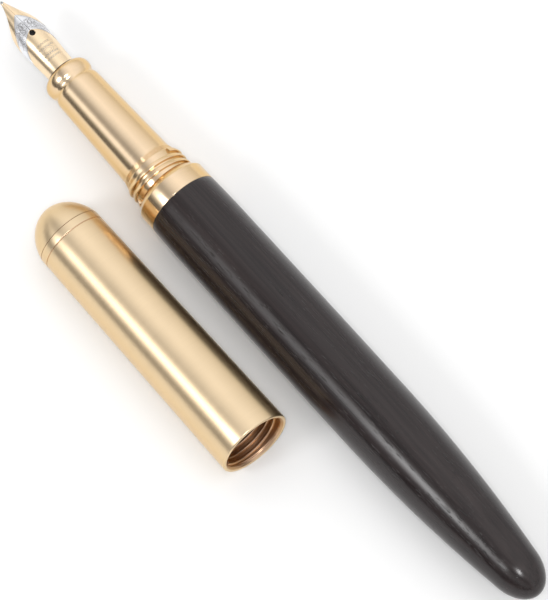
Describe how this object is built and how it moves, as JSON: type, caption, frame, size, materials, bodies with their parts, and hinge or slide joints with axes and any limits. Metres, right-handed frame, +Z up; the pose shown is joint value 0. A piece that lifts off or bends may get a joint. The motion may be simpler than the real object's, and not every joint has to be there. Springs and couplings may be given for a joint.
{
  "type": "fountain pen",
  "caption": "Uncapped screw-cap fountain pen with a wooden barrel, turned brass section and ring, plated nib and piston converter, its brass cap lying beside it.",
  "frame": {"origin": "on the surface that the pen and cap rest on, under the middle of the set's bounding box", "axes": "+X along the pen from the nib's point to the barrel's end, +Y from the cap to the pen, +Z up"},
  "size_m": [0.1474, 0.0336, 0.0144],
  "materials": {
    "ebony_wood": "satin oiled, nearly black, with short open pores along the grain",
    "polished_brass": "polished, with faint turning marks",
    "satin_brass": "satin, brushed round the axis",
    "liner_brass": "drawn tube, unpolished",
    "nib_gold": "polished, gold-coloured plating with bare steel shoulders and a scroll engraving",
    "nib_point": "polished hard metal",
    "feed_plastic": "matte black",
    "black_plastic": "moulded, glossy black",
    "clear_plastic": "clear moulded plastic",
    "nickel_sleeve": "bright nickel plating",
    "seal_silicone": "translucent grey soft plastic",
    "black_rubber": "black nitrile rubber",
    "liner_plastic": "moulded, dark"
  },
  "bodies": {
    "barrel": {"barrel": "ebony_wood", "barrel_liner": "liner_brass", "barrel_bush": "polished_brass"},
    "converter": {"converter_tube": "clear_plastic", "converter_guide": "black_plastic", "converter_sleeve": "nickel_sleeve"},
    "knob": {"converter_knob": "nickel_sleeve", "drive_screw": "black_plastic"},
    "piston": {"piston_rod": "black_plastic", "piston": "black_plastic", "piston_seal": "seal_silicone"},
    "seal": {"section_seal": "black_rubber"},
    "section": {"grip_section": "polished_brass", "nib_housing": "black_plastic"},
    "nib_unit": {"nib": "nib_gold", "nib_tipping": "nib_point", "feed": "feed_plastic"},
    "inner_cap": {"cap_liner": "liner_plastic"},
    "cap": {"cap_tube": "satin_brass", "cap_crown": "satin_brass"}
  },
  "joints": [
    {"name": "barrel_draw", "type": "slide", "parent": "barrel", "child": "converter", "axis": [-1, 0, 0], "range_m": [0, 0.082]},
    {"name": "section_slide", "type": "slide", "parent": "converter", "child": "seal", "axis": [-1, 0, 0], "range_m": [0, 0.006]},
    {"name": "section_turn", "type": "hinge", "parent": "seal", "child": "section", "pos_m": [-0.03375, 0.00959, 0.00719], "axis": [-1, 0, 0], "range_deg": [0, 2880]},
    {"name": "nib_pull", "type": "slide", "parent": "section", "child": "nib_unit", "axis": [-1, 0, 0], "range_m": [0, 0.018]},
    {"name": "knob_turn", "type": "hinge", "parent": "converter", "child": "knob", "pos_m": [0.02625, 0.00959, 0.00719], "axis": [1, 0, 0], "range_deg": [0, 2160]},
    {"name": "piston_slide", "type": "slide", "parent": "converter", "child": "piston", "axis": [1, 0, 0], "range_m": [0, 0.027]},
    {"name": "cap_draw", "type": "slide", "parent": "barrel", "child": "inner_cap", "axis": [-1, 0, 0], "range_m": [0, 0.095]},
    {"name": "cap_turn", "type": "hinge", "parent": "inner_cap", "child": "cap", "pos_m": [-0.00515, -0.00954, 0.00668], "axis": [0.9999, -0.0105, 0.012], "continuous": true}
  ],
  "couplings": [
    {"joint": "section_slide", "follows": "section_turn", "m_per_rad": 0.00011937},
    {"joint": "piston_slide", "follows": "knob_turn", "m_per_rad": 0.0007162}
  ]
}
